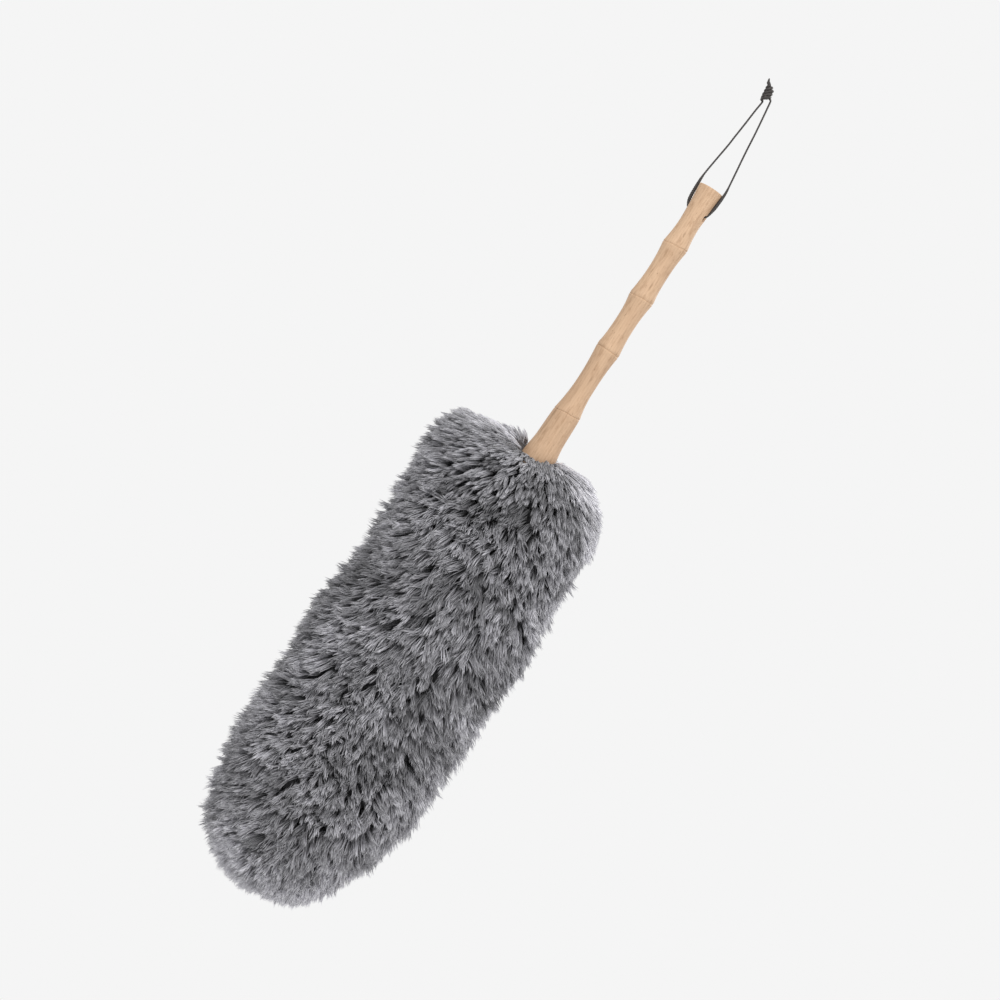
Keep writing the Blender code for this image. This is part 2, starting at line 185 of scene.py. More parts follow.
class Wire:
    """What comes out of one socket of a material. Sums with it add Math nodes."""

    def __init__(self, recipe, socket):
        self.recipe, self.socket = recipe, socket

    def sum(self, operation, first, second):
        return self.recipe.node("ShaderNodeMath", {"operation": operation}, {0: first, 1: second})

    def __add__(self, other):
        return self.sum("ADD", self, other)

    def __sub__(self, other):
        return self.sum("SUBTRACT", self, other)

    def __rsub__(self, other):
        return self.sum("SUBTRACT", other, self)

    def __mul__(self, other):
        return self.sum("MULTIPLY", self, other)

    __radd__, __rmul__ = __add__, __mul__


class Recipe:
    """The nodes of one material or of the world."""

    def __init__(self, owner):
        owner.use_nodes = True
        self.owner, self.tree = owner, owner.node_tree
        self.shader = self.tree.nodes.get("Principled BSDF")

    def fill(self, node, inputs):
        for name, value in inputs.items():
            if isinstance(value, Wire):
                self.tree.links.new(value.socket, node.inputs[name])
            else:
                node.inputs[name].default_value = value

    def node(self, kind, settings=None, inputs=None, output=0):
        """Adds a node of this kind: its settings first, then the values or links of its sockets."""
        node = self.tree.nodes.new(kind)
        for name, value in (settings or {}).items():
            if name == "stops":
                steps = node.color_ramp.elements
                while len(steps) < len(value):
                    steps.new(1.0)
                for step, (place, colour) in zip(steps, value):
                    step.position, step.color = place, (*colour, 1.0)
            else:
                setattr(node, name, value)
        self.fill(node, inputs or {})
        return Wire(self, node.outputs[output])

    def mix(self, share, first, second, blend="MIX"):
        """A colour between two others. Each is a wire or three numbers."""
        first, second = (c if isinstance(c, Wire) else (*c, 1.0) for c in (first, second))
        settings = {"data_type": "RGBA", "blend_type": blend}
        return self.node("ShaderNodeMix", settings, {0: share, 6: first, 7: second}, output=2)

    def stretched(self, vector, stretch):
        return self.node("ShaderNodeVectorMath", {"operation": "MULTIPLY"}, {0: vector, 1: stretch})

    def places(self, stretch=(1, 1, 1)):
        """Where on the object a point lies, in metres, times a stretch along each axis."""
        return self.stretched(self.node("ShaderNodeTexCoord", output=3), stretch)

    def noise(self, vector, scale, detail=3.0, roughness=0.55):
        inputs = {"Vector": vector, "Scale": scale, "Detail": detail, "Roughness": roughness}
        return self.node("ShaderNodeTexNoise", None, inputs)

    def ramp(self, share, *stops):
        return self.node("ShaderNodeValToRGB", {"stops": stops}, {0: share})

    def levels(self, value, low, high, to_low=0.0, to_high=1.0):
        """A value from low to high turned into one from to_low to to_high, and held there."""
        inputs = {"Value": value, "From Min": low, "From Max": high, "To Min": to_low, "To Max": to_high}
        return self.node("ShaderNodeMapRange", {"clamp": True}, inputs)

    def bump(self, height, strength, distance):
        inputs = {"Height": height, "Strength": strength, "Distance": distance}
        return self.node("ShaderNodeBump", None, inputs)


def new_finish(name, **constants):
    """A material with its plain sockets set: words of a name join with underscores."""
    recipe = Recipe(bpy.data.materials.new(name))
    recipe.fill(recipe.shader, {key.replace("_", " "): value for key, value in constants.items()})
    return recipe


cord_wax = new_finish("waxed_cord", Specular_IOR_Level=0.4)
fibre = cord_wax.noise(cord_wax.places((1, 1, 0.35)), 5200)
scuff = cord_wax.levels(cord_wax.noise(cord_wax.places(), 420), 0.52, 0.7)
cord_colour = cord_wax.mix(fibre, (0.018, 0.015, 0.014), (0.062, 0.054, 0.050))
cord_colour = cord_wax.mix(scuff * 0.35, cord_colour, (0.115, 0.100, 0.092))
cord_wax.fill(
    cord_wax.shader,
    {
        "Base Color": cord_colour,
        "Roughness": cord_wax.levels(fibre, 0.3, 0.7, 0.42, 0.62),
        "Normal": cord_wax.bump(fibre, 0.5, 0.00012),
    },
)

cord_line = smooth_line([(across, 0, bore_height + up) for across, up in cord_route], cord_row_step)
# The cord is drawn wider on the flanks: partly spread plies, partly painted contact shadow beside the wood
above_bore = cord_line[:, 2] - bore_height
right_flank, left_flank = np.interp(above_bore, *right_flank_widening), np.interp(above_bore, *left_flank_widening)
spread = np.where(cord_line[:, 0] > 0, right_flank, left_flank)
widths = np.repeat(1 + spread[:, None], 2, axis=1)
hanging_cord = new_piece("hanging_cord_laid", *laid_cord(cord_line, widths))
hanging_cord.data.materials.append(cord_wax.owner)
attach(hanging_cord, "hanging_loop")
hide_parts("hanging_cord")

# Knot: the cord's right end runs straight up through it, its left end winds four times and a bit round that
# and up beside it, and the two tails are cut off short just above.
knot_foot, knot_lean = np.array([-0.0014, 0, 0.0007]), math.radians(27.8)
coil_turns, coil_start = 4.35, math.radians(165)
coil_shares = (0.0, 0.25, 0.60, 1.0)
coil_radii = (0.0029, 0.0029, 0.0026, 0.0015)
coil_middles = (-0.0011, -0.0007, 0.0004, 0.0007)
coil_heights = (0.0008, 0.0030, 0.0064, 0.0107)
coil_width, tail_width = 1.65, 1.35
coil_unround, coil_slant, width_run = 0.07, 0.0007, 0.0025
tail_taper = ((0, 0.0008, 0.0030, 0.0060), (0.35, 0.6, 0.95, 1.0))


def in_knot(across, deep, up):
    """A point of the knot, given across the loop, towards its back and up along its own leaning line."""
    sin, cos = math.sin(knot_lean), math.cos(knot_lean)
    return knot_foot + np.array([across * cos - up * sin, deep, across * sin + up * cos])


winding = []
for share in np.linspace(0, 1, 35):
    angle = coil_start + 2 * math.pi * coil_turns * share
    out = np.interp(share, coil_shares, coil_radii) * (1 + coil_unround * math.sin(1.7 * angle))
    middle = np.interp(share, coil_shares, coil_middles)
    up = np.interp(share, coil_shares, coil_heights) + coil_slant * math.cos(angle - 0.6)
    winding.append(in_knot(middle + out * math.cos(angle), out * math.sin(angle), up))
left_strand = [
    cord_line[0],
    *winding,
    in_knot(-0.0002, -0.0004, 0.0126),
    in_knot(-0.0002, 0, 0.0141),
    in_knot(0, 0, 0.0164),
]
right_strand = [
    cord_line[-1],
    in_knot(0.0014, 0, 0.0024),
    in_knot(0.0006, 0, 0.0050),
    in_knot(0.0006, 0.0003, 0.0080),
    in_knot(0.0011, 0.0003, 0.0105),
    in_knot(0.0007, 0, 0.0136),
]
knot_points, knot_faces = np.empty((0, 3)), []
for strand, swell in ((left_strand, coil_width), (right_strand, tail_width)):
    line = smooth_line(strand, cord_row_step)
    from_end = (len(line) - 1 - np.arange(len(line))) * cord_row_step
    from_start = np.arange(len(line)) * cord_row_step
    widths = np.interp(from_end, *tail_taper) * (1 + (swell - 1) * np.clip(from_start / width_run, 0, 1))
    points, faces = laid_cord(line, np.repeat(widths[:, None], 2, axis=1), len(knot_points))
    knot_points, knot_faces = np.vstack([knot_points, points]), knot_faces + faces
tied_knot = new_piece("tied_knot", knot_points, knot_faces)
tied_knot.data.materials.append(cord_wax.owner)
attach(tied_knot, "hanging_loop")
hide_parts("cord_knot")
cord_run = np.linalg.norm(np.diff(cord_line, axis=0), axis=1).sum()

# Handle: one stick of pale close-grained wood, turned to look like bamboo, with a ridge and a groove at each
# node, a flared end and a bell-shaped foot. It is sanded and lightly oiled, and its bore's mouths are
# rounded.
end_diameter, end_crown = 0.0190, 0.0007
waist_diameters = (0.0153, 0.0155, 0.0150, 0.0150)
internode_lengths = (0.0472, 0.0433, 0.0441, 0.0548)
node_diameters = (0.0186, 0.0185, 0.0179, 0.0200)
foot_length, foot_diameter = 0.0489, 0.0256
groove_drops = (0.0006, 0.0019, 0.0016, 0.0002)
groove_depth, groove_width = 0.00030, 0.0013
bore_from_end, bore_diameter = 0.0213, 0.0036
mouth_rounding, mouth_sweep = 0.00205, math.radians(68)
flare_end, flare_curve, waist_curve = 0.62, 1.3, 2.3
handle_sides, bore_sides = 144, 48
node_tilts, node_turns, node_reach = (0.00105, 0.00065, -0.00035, 0.00085), (0.5, 0.2, 0.6, 0.3), 0.007
# How much darker each node's groove is coloured, and how far from the node that holds
groove_darkenings, groove_dark_reach = (0.35, 0.75, 1.0, 0.15), 0.006
# Small flaws in the wood: angle round it, height, half width, half length and strength
front = camera_azimuth - math.pi / 2
wood_flaws = (
    (front + 0.12, -0.1121, 0.0007, 0.0018, 0.55),
    (front + 0.12, -0.1554, 0.0006, 0.0028, 0.50),
    (front - 0.35, -0.1310, 0.0005, 0.0030, 0.25),
    (front + 0.45, -0.1930, 0.0006, 0.0035, 0.30),
    (front + 0.15, -0.2346, 0.0007, 0.0032, 0.50),
    (front - 0.45, -0.2480, 0.0008, 0.0060, 0.30),
    (front - 0.92, -0.2690, 0.0007, 0.0070, 0.55),
    (front - 1.00, -0.2830, 0.0006, 0.0060, 0.50),
    (front + 0.30, -0.2760, 0.0008, 0.0080, 0.22),
    (front + 2.20, -0.1450, 0.0007, 0.0040, 0.40),
    (front + 3.00, -0.2150, 0.0006, 0.0050, 0.45),
    (front - 2.20, -0.1750, 0.0007, 0.0030, 0.40),
)
# How far the foot has swollen, by how far down it is
foot_downs = (0, 0.16, 0.32, 0.46, 0.56, 0.66, 0.8, 1)
foot_swells = (0, 0.10, 0.17, 0.27, 0.46, 0.72, 0.93, 1)

end_height = bore_height + bore_from_end
foot_height = end_height - sum(internode_lengths) - foot_length


def handle_profile():
    """Radius, height and how deep in a groove each point of the handle's outline is, from end to foot."""
    waist, rim = waist_diameters[0] / 2, end_height - end_crown
    profile = [(0.0, end_height, 0.0)]
    for angle in np.linspace(0, math.pi / 2, 14)[1:]:
        profile.append((end_diameter / 2 * math.sin(angle), rim + end_crown * math.cos(angle) ** 0.7, 0.0))
    length = internode_lengths[0] - end_crown
    for share in np.linspace(0, 1, 60)[1:]:
        if share < flare_end:
            radius = waist + (end_diameter / 2 - waist) * (1 - share / flare_end) ** flare_curve
        else:
            widening = ((share - flare_end) / (1 - flare_end)) ** 2
            radius = waist + (node_diameters[0] / 2 - waist) * widening
        profile.append((radius, rim - length * share, 0.0))
    height = rim - length
    lowers, waists = (*node_diameters[1:], None), (*waist_diameters[1:], None)
    lengths = (*internode_lengths[1:], foot_length)
    for length, upper, lower, waist, drop in zip(lengths, node_diameters, lowers, waists, groove_drops):
        ridge = upper / 2
        for share in (0.1, 0.3, 0.5, 0.7, 0.9):
            depth = math.sin(math.pi * share) ** 2
            profile.append((ridge - groove_depth * depth, height - drop - groove_width * share, depth))
        top = height - drop - groove_width
        if lower is None:
            knots = smooth_line([(out, down, 0) for down, out in zip(foot_downs, foot_swells)], 0.02)
            downs = np.linspace(0, 1, 64)
            outs = np.interp(downs, knots[:, 1], knots[:, 0])
            for down, out in zip(downs, outs):
                radius = ridge + (foot_diameter / 2 - ridge) * out
                profile.append((radius, top - (top - foot_height) * down, 0.0))
        else:
            for share in np.linspace(0, 1, 48):
                end = ridge if share < 0.5 else lower / 2
                radius = waist / 2 + (end - waist / 2) * abs(1 - 2 * share) ** waist_curve
                profile.append((radius, top - (top - height + length) * share, 0.0))
        height -= length
    profile.append((0.0, foot_height, 0.0))
    return np.array(profile)


def turned(outline, sides):
    """Points and faces of a solid turned about the upright axis. Its outline starts and ends on that axis."""
    outline = np.asarray(outline, float)
    around = np.linspace(0, 2 * math.pi, sides, endpoint=False)
    out, height = outline[1:-1, 0, None], outline[1:-1, 1, None]
    rings = np.stack([out * np.cos(around), out * np.sin(around), height + 0 * around], axis=-1)
    rings = rings.reshape(-1, 3)
    points = np.vstack([rings, (0, 0, outline[0, 1]), (0, 0, outline[-1, 1])])
    top, bottom, last = len(rings), len(rings) + 1, len(rings) - sides
    faces = []
    for one in range(sides):
        two = (one + 1) % sides
        faces.append((top, one, two))
        faces.append((bottom, last + two, last + one))
        for row in range(0, last, sides):
            faces.append((row + one, row + one + sides, row + two + sides, row + two))
    return points, faces


profile = handle_profile()
points, faces = turned(profile, handle_sides)
angle, height = np.arctan2(points[:, 1], points[:, 0]), points[:, 2]
unround = 1 + 0.006 * np.sin(2 * angle + 90 * height) + 0.004 * np.sin(3 * angle - 210 * height + 1.3)
node_heights = end_height - np.cumsum(internode_lengths)
for node_height, tilt, turn in zip(node_heights, node_tilts, node_turns):
    near = np.exp(-(((height - node_height) / node_reach) ** 2))
    points[:, 2] += near * (tilt * np.cos(angle - turn) + 0.00016 * np.sin(5 * angle + 7 * turn))
points[:, :2] *= unround[:, None]
turned_handle = new_piece("turned_handle", points, faces)
depths = np.concatenate([np.repeat(profile[1:-1, 2], handle_sides), (0, 0)])
for node_height, darkening in zip(node_heights, groove_darkenings):
    depths[np.abs(height - node_height) < groove_dark_reach] *= darkening
flaws = np.zeros(len(points))
for flaw_angle, flaw_height, wide, long, strength in wood_flaws:
    turn_off = np.abs((angle - flaw_angle + math.pi) % (2 * math.pi) - math.pi)
    off = turn_off * np.hypot(points[:, 0], points[:, 1]) / wide
    flaws += strength * np.exp(-(off**2) - ((height - flaw_height) / long) ** 2)
for name, values in (("groove", depths), ("flaw", flaws)):
    painted = turned_handle.data.attributes.new(name, "FLOAT", "POINT")
    painted.data.foreach_set("value", values.astype(np.float32))

mouth_angles = np.linspace(0, mouth_sweep, 12)
mouth_out = bore_diameter / 2 + mouth_rounding * (1 - np.cos(mouth_angles))
mouth_start = waist_diameters[0] / 2 - mouth_rounding * math.sin(mouth_sweep)
mouth_along = mouth_start + mouth_rounding * np.sin(mouth_angles)
beyond = mouth_along[-1] + 0.002
bore_profile = [(0, beyond), (mouth_out[-1], beyond), *zip(mouth_out[::-1], mouth_along[::-1])]
bore_profile += [(out, -along) for out, along in reversed(bore_profile)]
points, faces = turned(bore_profile, bore_sides)
points = points[:, [2, 0, 1]] + np.array([0, 0, bore_height])
bore_cutter = new_piece("bore_cutter", points, faces)
cut = turned_handle.modifiers.new("bore", "BOOLEAN")
cut.object, cut.operation, cut.solver = bore_cutter, "DIFFERENCE", "EXACT"
bored = bpy.data.meshes.new_from_object(turned_handle.evaluated_get(bpy.context.evaluated_depsgraph_get()))
turned_handle.modifiers.clear()
turned_handle.data = bored
bpy.data.objects.remove(bore_cutter)
bored.shade_smooth()
bored.set_sharp_from_angle(angle=math.radians(38))

wood = new_finish("turned_wood", Specular_IOR_Level=0.35)
along_grain = wood.places((1, 1, 0.045))
off_centre = wood.node("ShaderNodeVectorMath", {"operation": "ADD"}, {0: along_grain, 1: (0.021, 0.013, 0)})
rings = wood.node(
    "ShaderNodeTexWave",
    {"wave_type": "RINGS", "rings_direction": "Z", "wave_profile": "SAW"},
    {
        "Vector": off_centre,
        "Scale": 170,
        "Distortion": 1.1,
        "Detail": 2.0,
        "Detail Scale": 1.4,
    },
    output=1,
)
fine = wood.noise(wood.places((1, 1, 0.03)), 2600, 4)
pores = wood.levels(wood.noise(wood.places((1, 1, 0.09)), 1500, 2), 0.62, 0.74)
patches = wood.noise(wood.places((1, 1, 0.30)), 110, 2)
streaks = wood.levels(wood.noise(wood.places((1, 1, 0.22)), 430, 3, 0.6), 0.50, 0.72)
dashes = wood.levels(wood.noise(wood.places((1, 1, 0.20)), 1150, 2), 0.66, 0.76)
wood_colour = wood.mix(rings, (0.800, 0.545, 0.352), (0.700, 0.462, 0.290))
wood_colour = wood.mix(wood.levels(fine, 0.35, 0.7) * 0.45, wood_colour, (0.800, 0.570, 0.385))
wood_colour = wood.mix(wood.levels(patches, 0.42, 0.68) * 0.30, wood_colour, (0.560, 0.355, 0.220))
wood_colour = wood.mix(streaks * 0.72, wood_colour, (0.490, 0.300, 0.176))
height_up = Wire(wood, wood.node("ShaderNodeSeparateXYZ", None, {0: wood.places()}).socket.node.outputs[2])
wood_colour = wood.mix(wood.levels(height_up, -0.24, -0.19, 0.14, 0.0), wood_colour, (0.490, 0.300, 0.176))
wood_colour = wood.mix(dashes * 0.75, wood_colour, (0.330, 0.190, 0.105))
wood_colour = wood.mix(pores * 0.30, wood_colour, (0.340, 0.190, 0.098))
# The grooves are coloured darker, by how deep a point lies in one and unevenly round the handle
in_groove = wood.node("ShaderNodeAttribute", {"attribute_name": "groove"}, output=2)
groove_dark_share = wood.levels(patches, 0.35, 0.6, 0.15, 0.45)
wood_colour = wood.mix(in_groove * groove_dark_share, wood_colour, (0.330, 0.195, 0.105))
flaw = wood.node("ShaderNodeAttribute", {"attribute_name": "flaw"}, output=2)
wood_colour = wood.mix(flaw, wood_colour, (0.300, 0.175, 0.095))
wood.fill(
    wood.shader,
    {
        "Base Color": wood_colour,
        "Roughness": wood.levels(fine, 0.3, 0.7, 0.5, 0.62),
        "Normal": wood.bump(fine * 0.6 - pores, 0.25, 0.0002),
    },
)
bored.materials.append(wood.owner)
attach(turned_handle, "duster")
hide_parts("handle")

# Core dowel and tacks: a plain birch rod glued into the foot, and two steel tacks that hold the strip's ends
# to it. The pile hides all three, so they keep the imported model's own shapes.
dowel = new_finish("dowel_wood", Roughness=0.7)
grain = dowel.noise(dowel.places((1, 1, 0.04)), 1800)
dowel.fill(dowel.shader, {"Base Color": dowel.mix(grain, (0.50, 0.36, 0.22), (0.68, 0.52, 0.34))})
steel = new_finish("tack_steel", Metallic=1.0)
brushed = steel.noise(steel.places(), 2400)
steel_colour = steel.mix(brushed, (0.50, 0.50, 0.51), (0.60, 0.60, 0.61))
steel_roughness = steel.levels(brushed, 0.3, 0.7, 0.25, 0.45)
steel.fill(steel.shader, {"Base Color": steel_colour, "Roughness": steel_roughness})
for node, material in (("core_dowel", dowel), ("strip_tack_upper", steel), ("strip_tack_lower", steel)):
    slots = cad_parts[node].data.materials
    slots.clear()
    slots.append(material.owner)

# Plush head: one strip of long microfibre pile wound on the core from the handle's foot to the tip. Its
# yarns are dark at the root and grey at the tip. They stand in small locks that fall towards the tip, and on
# the top face they lie combed flat, away from the handle.
turn_names = [f"plush_turn_{number:02d}" for number in range(1, 10)]
first_turn_end, turn_pitch = -0.3375, 0.0430
base_outline = (
    (0.0131, -0.3040),
    (0.0260, -0.3055),
    (0.0360, -0.3085),
    (0.0440, -0.3135),
    (0.0500, -0.3200),
    (0.0545, -0.3285),
    (0.0570, -0.3400),
    (0.0577, -0.3600),
    (0.0578, -0.4000),
    (0.0576, -0.5000),
    (0.0574, -0.5600),
    (0.0550, -0.5840),
    (0.0522, -0.5985),
    (0.0490, -0.6115),
    (0.0450, -0.6225),
    (0.0405, -0.6330),
    (0.0355, -0.6405),
    (0.0298, -0.6462),
    (0.0235, -0.6510),
    (0.0152, -0.6545),
    (0.0065, -0.6563),
    (0.0, -0.6566),
)
base_step, smoothed_steps, reach = 0.0001, 81, 0.0160
top_run, shoulder_run, side_fade, tip_fade = 0.0300, 0.0560, 0.020, 0.085
clump_spacing, clump_jitter, lock_spacing, lock_jitter = 0.0120, 0.42, 0.0038, 0.45
# Rises of the top face: each with its angle from the picture's right, how close round it, and its heights
rise_runs = (0.0, 0.015, 0.028, 0.040, 0.050, 0.062, 0.085)
top_rises = (
    (math.radians(162), 2.0, (0.0072, 0.0050, 0.0060, 0.0150, 0.0150, 0.0080, 0.0)),
    (math.radians(-5), 3.0, (0.0045, 0.0045, 0.0030, 0.0010, 0.0, 0.0, 0.0)),
    (math.radians(-115), 3.0, (-0.0060, -0.0050, -0.0030, -0.0010, 0.0, 0.0, 0.0)),
)
# Where the lighter pile of the top ends, by how far to the left it lies
band_lefts = (-0.080, -0.060, -0.040, -0.020, 0.012, 0.036, 0.051, 0.067, 0.080)
band_heights = (-0.362, -0.347, -0.322, -0.305, -0.306, -0.310, -0.313, -0.320, -0.325)
# How far the head hangs to the left, and how far its two sides swell, by height
left_heights = (-0.655, -0.640, -0.628, -0.610, -0.590, -0.570, -0.550, -0.500)
left_shifts = (0.0060, 0.0075, 0.0085, 0.0085, 0.0072, 0.0050, 0.0030, 0.0012)
left_swell_places = (0.340, 0.370, 0.408, 0.440, 0.465, 0.500, 0.550, 0.593, 0.630)
left_swells = (0.0, -0.0020, -0.0040, 0.0, 0.0050, 0.0010, -0.0005, -0.0015, -0.0015)
right_swell_places = (0.325, 0.355, 0.390, 0.426, 0.460, 0.497, 0.533, 0.568, 0.600)
right_swells = (0.0, -0.0030, -0.0010, 0.0035, 0.0, -0.0020, -0.0025, 0.0010, 0.0010)
# Leans and turns of the locks in degrees, shares of their length, and their shades: a mean, a change from
# left to right, a wave over the head, and what chance adds by clump and by lock
lean_mean, lean_right, lean_wave, lean_chance, tip_upright = 41, 8, 9, (7, 11), 0.7
top_leans, top_lean_right, top_lean_back = (85, 96, 110), 12, 18
aside_wave, aside_chance, curl_chance = 14, (9, 16), (0.15, 0.20)
pile_length, length_wave, length_chance = 0.0205, 0.07, (0.05, 0.06)
top_lengths, tip_shorter, tip_shorter_right = (0.80, 0.95, 1.0), 0.20, 0.05
foot_reach, foot_upright, foot_shorter = 0.007, 0.60, 0.30
tip_swept, tip_swept_less = 0.30, 0.4
shade_mean, shade_wave, shade_chance, strand_chance = 0.46, 0.14, (0.15, 0.15), 0.04
# By how far a lock faces right: painted shade on the front right, painted light on the right side
painted_light_by_facing, tip_painted_light = ((0, 0.5, 0.67, 1.0), (0, -0.08, -0.08, 0.18)), 0.66
band_edge, band_shadow, band_light, band_lift = 0.005, 0.16, 0.34, 0.60
lights_right, end_share = ((-0.2, 0.3), (1.0, 0.95)), 0.7
ripple_waves, ripple_spread, ripple_radius = 9, 0.28, 0.07
dice = np.random.default_rng(7)

base = smooth_line([(radius, 0, height) for radius, height in base_outline], base_step)[:, [0, 2]]
base_run = np.linspace(0, 1, len(base)) * np.linalg.norm(np.diff(base, axis=0), axis=1).sum()
base_down = unit(np.gradient(base, axis=0))
smoothing = np.ones(smoothed_steps) / smoothed_steps
padded = np.pad(base_down, ((smoothed_steps // 2, smoothed_steps // 2), (0, 0)), mode="edge")
base_down = unit(np.stack([np.convolve(padded[:, axis], smoothing, "valid") for axis in range(2)], axis=1))
outer_line = base + reach * np.stack([-base_down[:, 1], base_down[:, 0]], axis=1)
outer_run = np.concatenate([[0.0], np.cumsum(np.linalg.norm(np.diff(outer_line, axis=0), axis=1))])
to_left = -np.array(level_right)


def swell(height, around):
    """How far the wound pile stands out or in at either side of the head, as a strip wound by hand does."""
    right = np.cos(around - camera_azimuth)
    on_left = np.interp(-height, left_swell_places, left_swells) * np.clip(-right, 0, 1) ** 2
    return on_left + np.interp(-height, right_swell_places, right_swells) * np.clip(right, 0, 1) ** 2


def sideways(height):
    """How far the head's middle hangs to the left of the handle's line at this height."""
    return np.interp(height, left_heights, left_shifts)


def rise(run, around):
    """How far the top face stands above its plain outline: high on the left, low before the foot."""
    seen = around - camera_azimuth
    return sum(
        np.interp(run, rise_runs, rises) * np.exp(close * (np.cos(seen - at) - 1))
        for at, close, rises in top_rises
    )


def at_base(run, around):
    """For places on the base: the point, and the directions outward, towards the tip and round the head."""
    radius, height = (np.interp(run, base_run, base[:, axis]) for axis in range(2))
    out_down, up_down = (np.interp(run, base_run, base_down[:, axis]) for axis in range(2))
    cos, sin = np.cos(around), np.sin(around)
    point = np.stack([radius * cos, radius * sin, height + rise(run, around)], axis=1)
    point[:, :2] += swell(height, around)[:, None] * np.stack([cos, sin], axis=1)
    point = point + sideways(height)[:, None] * to_left
    down = unit(np.stack([out_down * cos, out_down * sin, up_down], axis=1))
    round_it = np.stack([-sin, cos, np.zeros_like(sin)], axis=1)
    return point, np.cross(down, round_it), down, round_it


def scattered(spacing, jitter):
    """Places about a spacing apart where the pile ends, as run along the outline and angle round the head."""
    runs, arounds = [], []
    rows = int(outer_run[-1] / spacing)
    for row in range(rows):
        run = np.interp((row + 0.5) / rows * outer_run[-1], outer_run, base_run)
        radius = np.interp(run, base_run, outer_line[:, 0])
        count = max(3, round(2 * math.pi * radius / spacing))
        around = (np.arange(count) + dice.uniform(0, 1)) * 2 * math.pi / count
        runs.append(run + dice.uniform(-jitter, jitter, count) * spacing * 0.8)
        arounds.append(around + dice.uniform(-jitter, jitter, count) * 2 * math.pi / count)
    return np.clip(np.concatenate(runs), 0, base_run[-1]), np.concatenate(arounds) % (2 * math.pi)


def ripple(run, around, size, seed):
    """Smooth noise over the head, between about -1 and 1, with waves of this size in metres."""
    waves = np.random.default_rng(seed)
    total = 0
    for _ in range(ripple_waves):
        turns = np.round(waves.normal(0, 2 * math.pi * ripple_radius / size * ripple_spread))
        slope = waves.normal(0, 2 * math.pi / size * ripple_spread)
        total = total + np.sin(turns * around + slope * run + waves.uniform(0, 2 * math.pi))
    return total / 3.2


clump_run, clump_around = scattered(clump_spacing, clump_jitter)
lock_run, lock_around = scattered(lock_spacing, lock_jitter)
clump_point, clump_out, _, _ = at_base(clump_run, clump_around)
lock_point, lock_out, lock_down, lock_round = at_base(lock_run, lock_around)
tree = KDTree(len(clump_point))
for number, point in enumerate(clump_point + clump_out * reach):
    tree.insert(point, number)
tree.balance()
lock_clump = np.array([tree.find(point)[1] for point in lock_point + lock_out * reach])


def each_lock(by_clump, by_lock):
    """A random number for each lock, part of it shared by the locks of a clump."""
    return dice.normal(0, by_clump, len(clump_run))[lock_clump] + dice.normal(0, by_lock, len(lock_run))


# Where each lock stands, its lean from upright towards the tip, its turn aside, its length and its tone: its
# own, with painted light and painted shade added by side, under the top's band and near the tip
facing_right = np.cos(lock_around - camera_azimuth)
facing_front = -np.sin(lock_around - camera_azimuth)
near_tip = np.clip(1 - (base_run[-1] - lock_run) / tip_fade, 0, 1)
on_side = np.clip((lock_run - shoulder_run) / side_fade, 0, 1)
past_foot = np.clip(lock_run / shoulder_run, 0, 1)
outward = lock_out[:, 0] * np.cos(lock_around) + lock_out[:, 1] * np.sin(lock_around)
base_tilt = np.arctan2(outward, lock_out[:, 2])
side_lean = math.radians(lean_mean) + math.radians(lean_right) * facing_right
side_lean = side_lean + np.radians(lean_wave) * ripple(lock_run, lock_around, 0.045, 3)
side_lean = side_lean * (1 - tip_upright * near_tip)
top_fall = np.interp(lock_run, (0, top_run, shoulder_run), np.radians(top_leans))
falls_over = np.interp(facing_front, (-1, -0.5, 1), (0.8, -0.5, 1))
falls_more = top_lean_right * facing_right * past_foot + top_lean_back * falls_over * (0.5 + 0.5 * past_foot)
top_fall = top_fall + np.radians(falls_more)
lean = (top_fall - base_tilt) * (1 - on_side) + side_lean * on_side
lean = lean + np.radians(each_lock(*lean_chance)) * (0.25 + 0.75 * on_side)
aside = np.radians(aside_wave) * ripple(lock_run, lock_around, 0.055, 5)
aside = aside + np.radians(each_lock(*aside_chance)) * (0.5 + 0.5 * on_side)
lock_length = pile_length * (1 + length_wave * ripple(lock_run, lock_around, 0.05, 8))
lock_length = lock_length * (1 + each_lock(*length_chance))
lock_length = lock_length * np.interp(lock_run, (0, top_run, shoulder_run), top_lengths)
lock_length = lock_length * (1 - tip_shorter * near_tip - tip_shorter_right * near_tip * facing_right)
behind_foot = np.clip(0.6 - 1.5 * facing_front - 0.6 * facing_right, 0, 1)
at_foot = np.clip(1 - lock_run / foot_reach, 0, 1) * behind_foot
lean, lock_length = lean * (1 - foot_upright * at_foot), lock_length * (1 - foot_shorter * at_foot)
swept = tip_swept * near_tip * np.clip(1 - np.abs(facing_right) * tip_swept_less, 0, 1)
lock_curl = each_lock(*curl_chance) * on_side
lock_tone_and_painted_light = each_lock(*shade_chance) + shade_wave * ripple(lock_run, lock_around, 0.028, 12)
# Painted shade on the front right and painted light on the right side of the head
lock_tone_and_painted_light = lock_tone_and_painted_light + np.interp(facing_right, *painted_light_by_facing)
lies_along = lock_out * np.cos(lean)[:, None] + lock_down * np.sin(lean)[:, None]
lock_end = lock_point + lies_along * lock_length[:, None] * end_share
above_band = lock_end[:, 2] - np.interp(lock_end @ to_left, band_lefts, band_heights)
top_light = np.clip(above_band / band_edge, 0, 1) * np.interp(facing_right, *lights_right)
under_band = np.exp(-(((above_band + band_edge) / band_edge) ** 2))
lock_tone_and_painted_light = lock_tone_and_painted_light - band_shadow * under_band * (facing_right < 0)
# Painted light: the locks near the tip are coloured lighter
lock_tone_and_painted_light = lock_tone_and_painted_light + tip_painted_light * near_tip**0.6

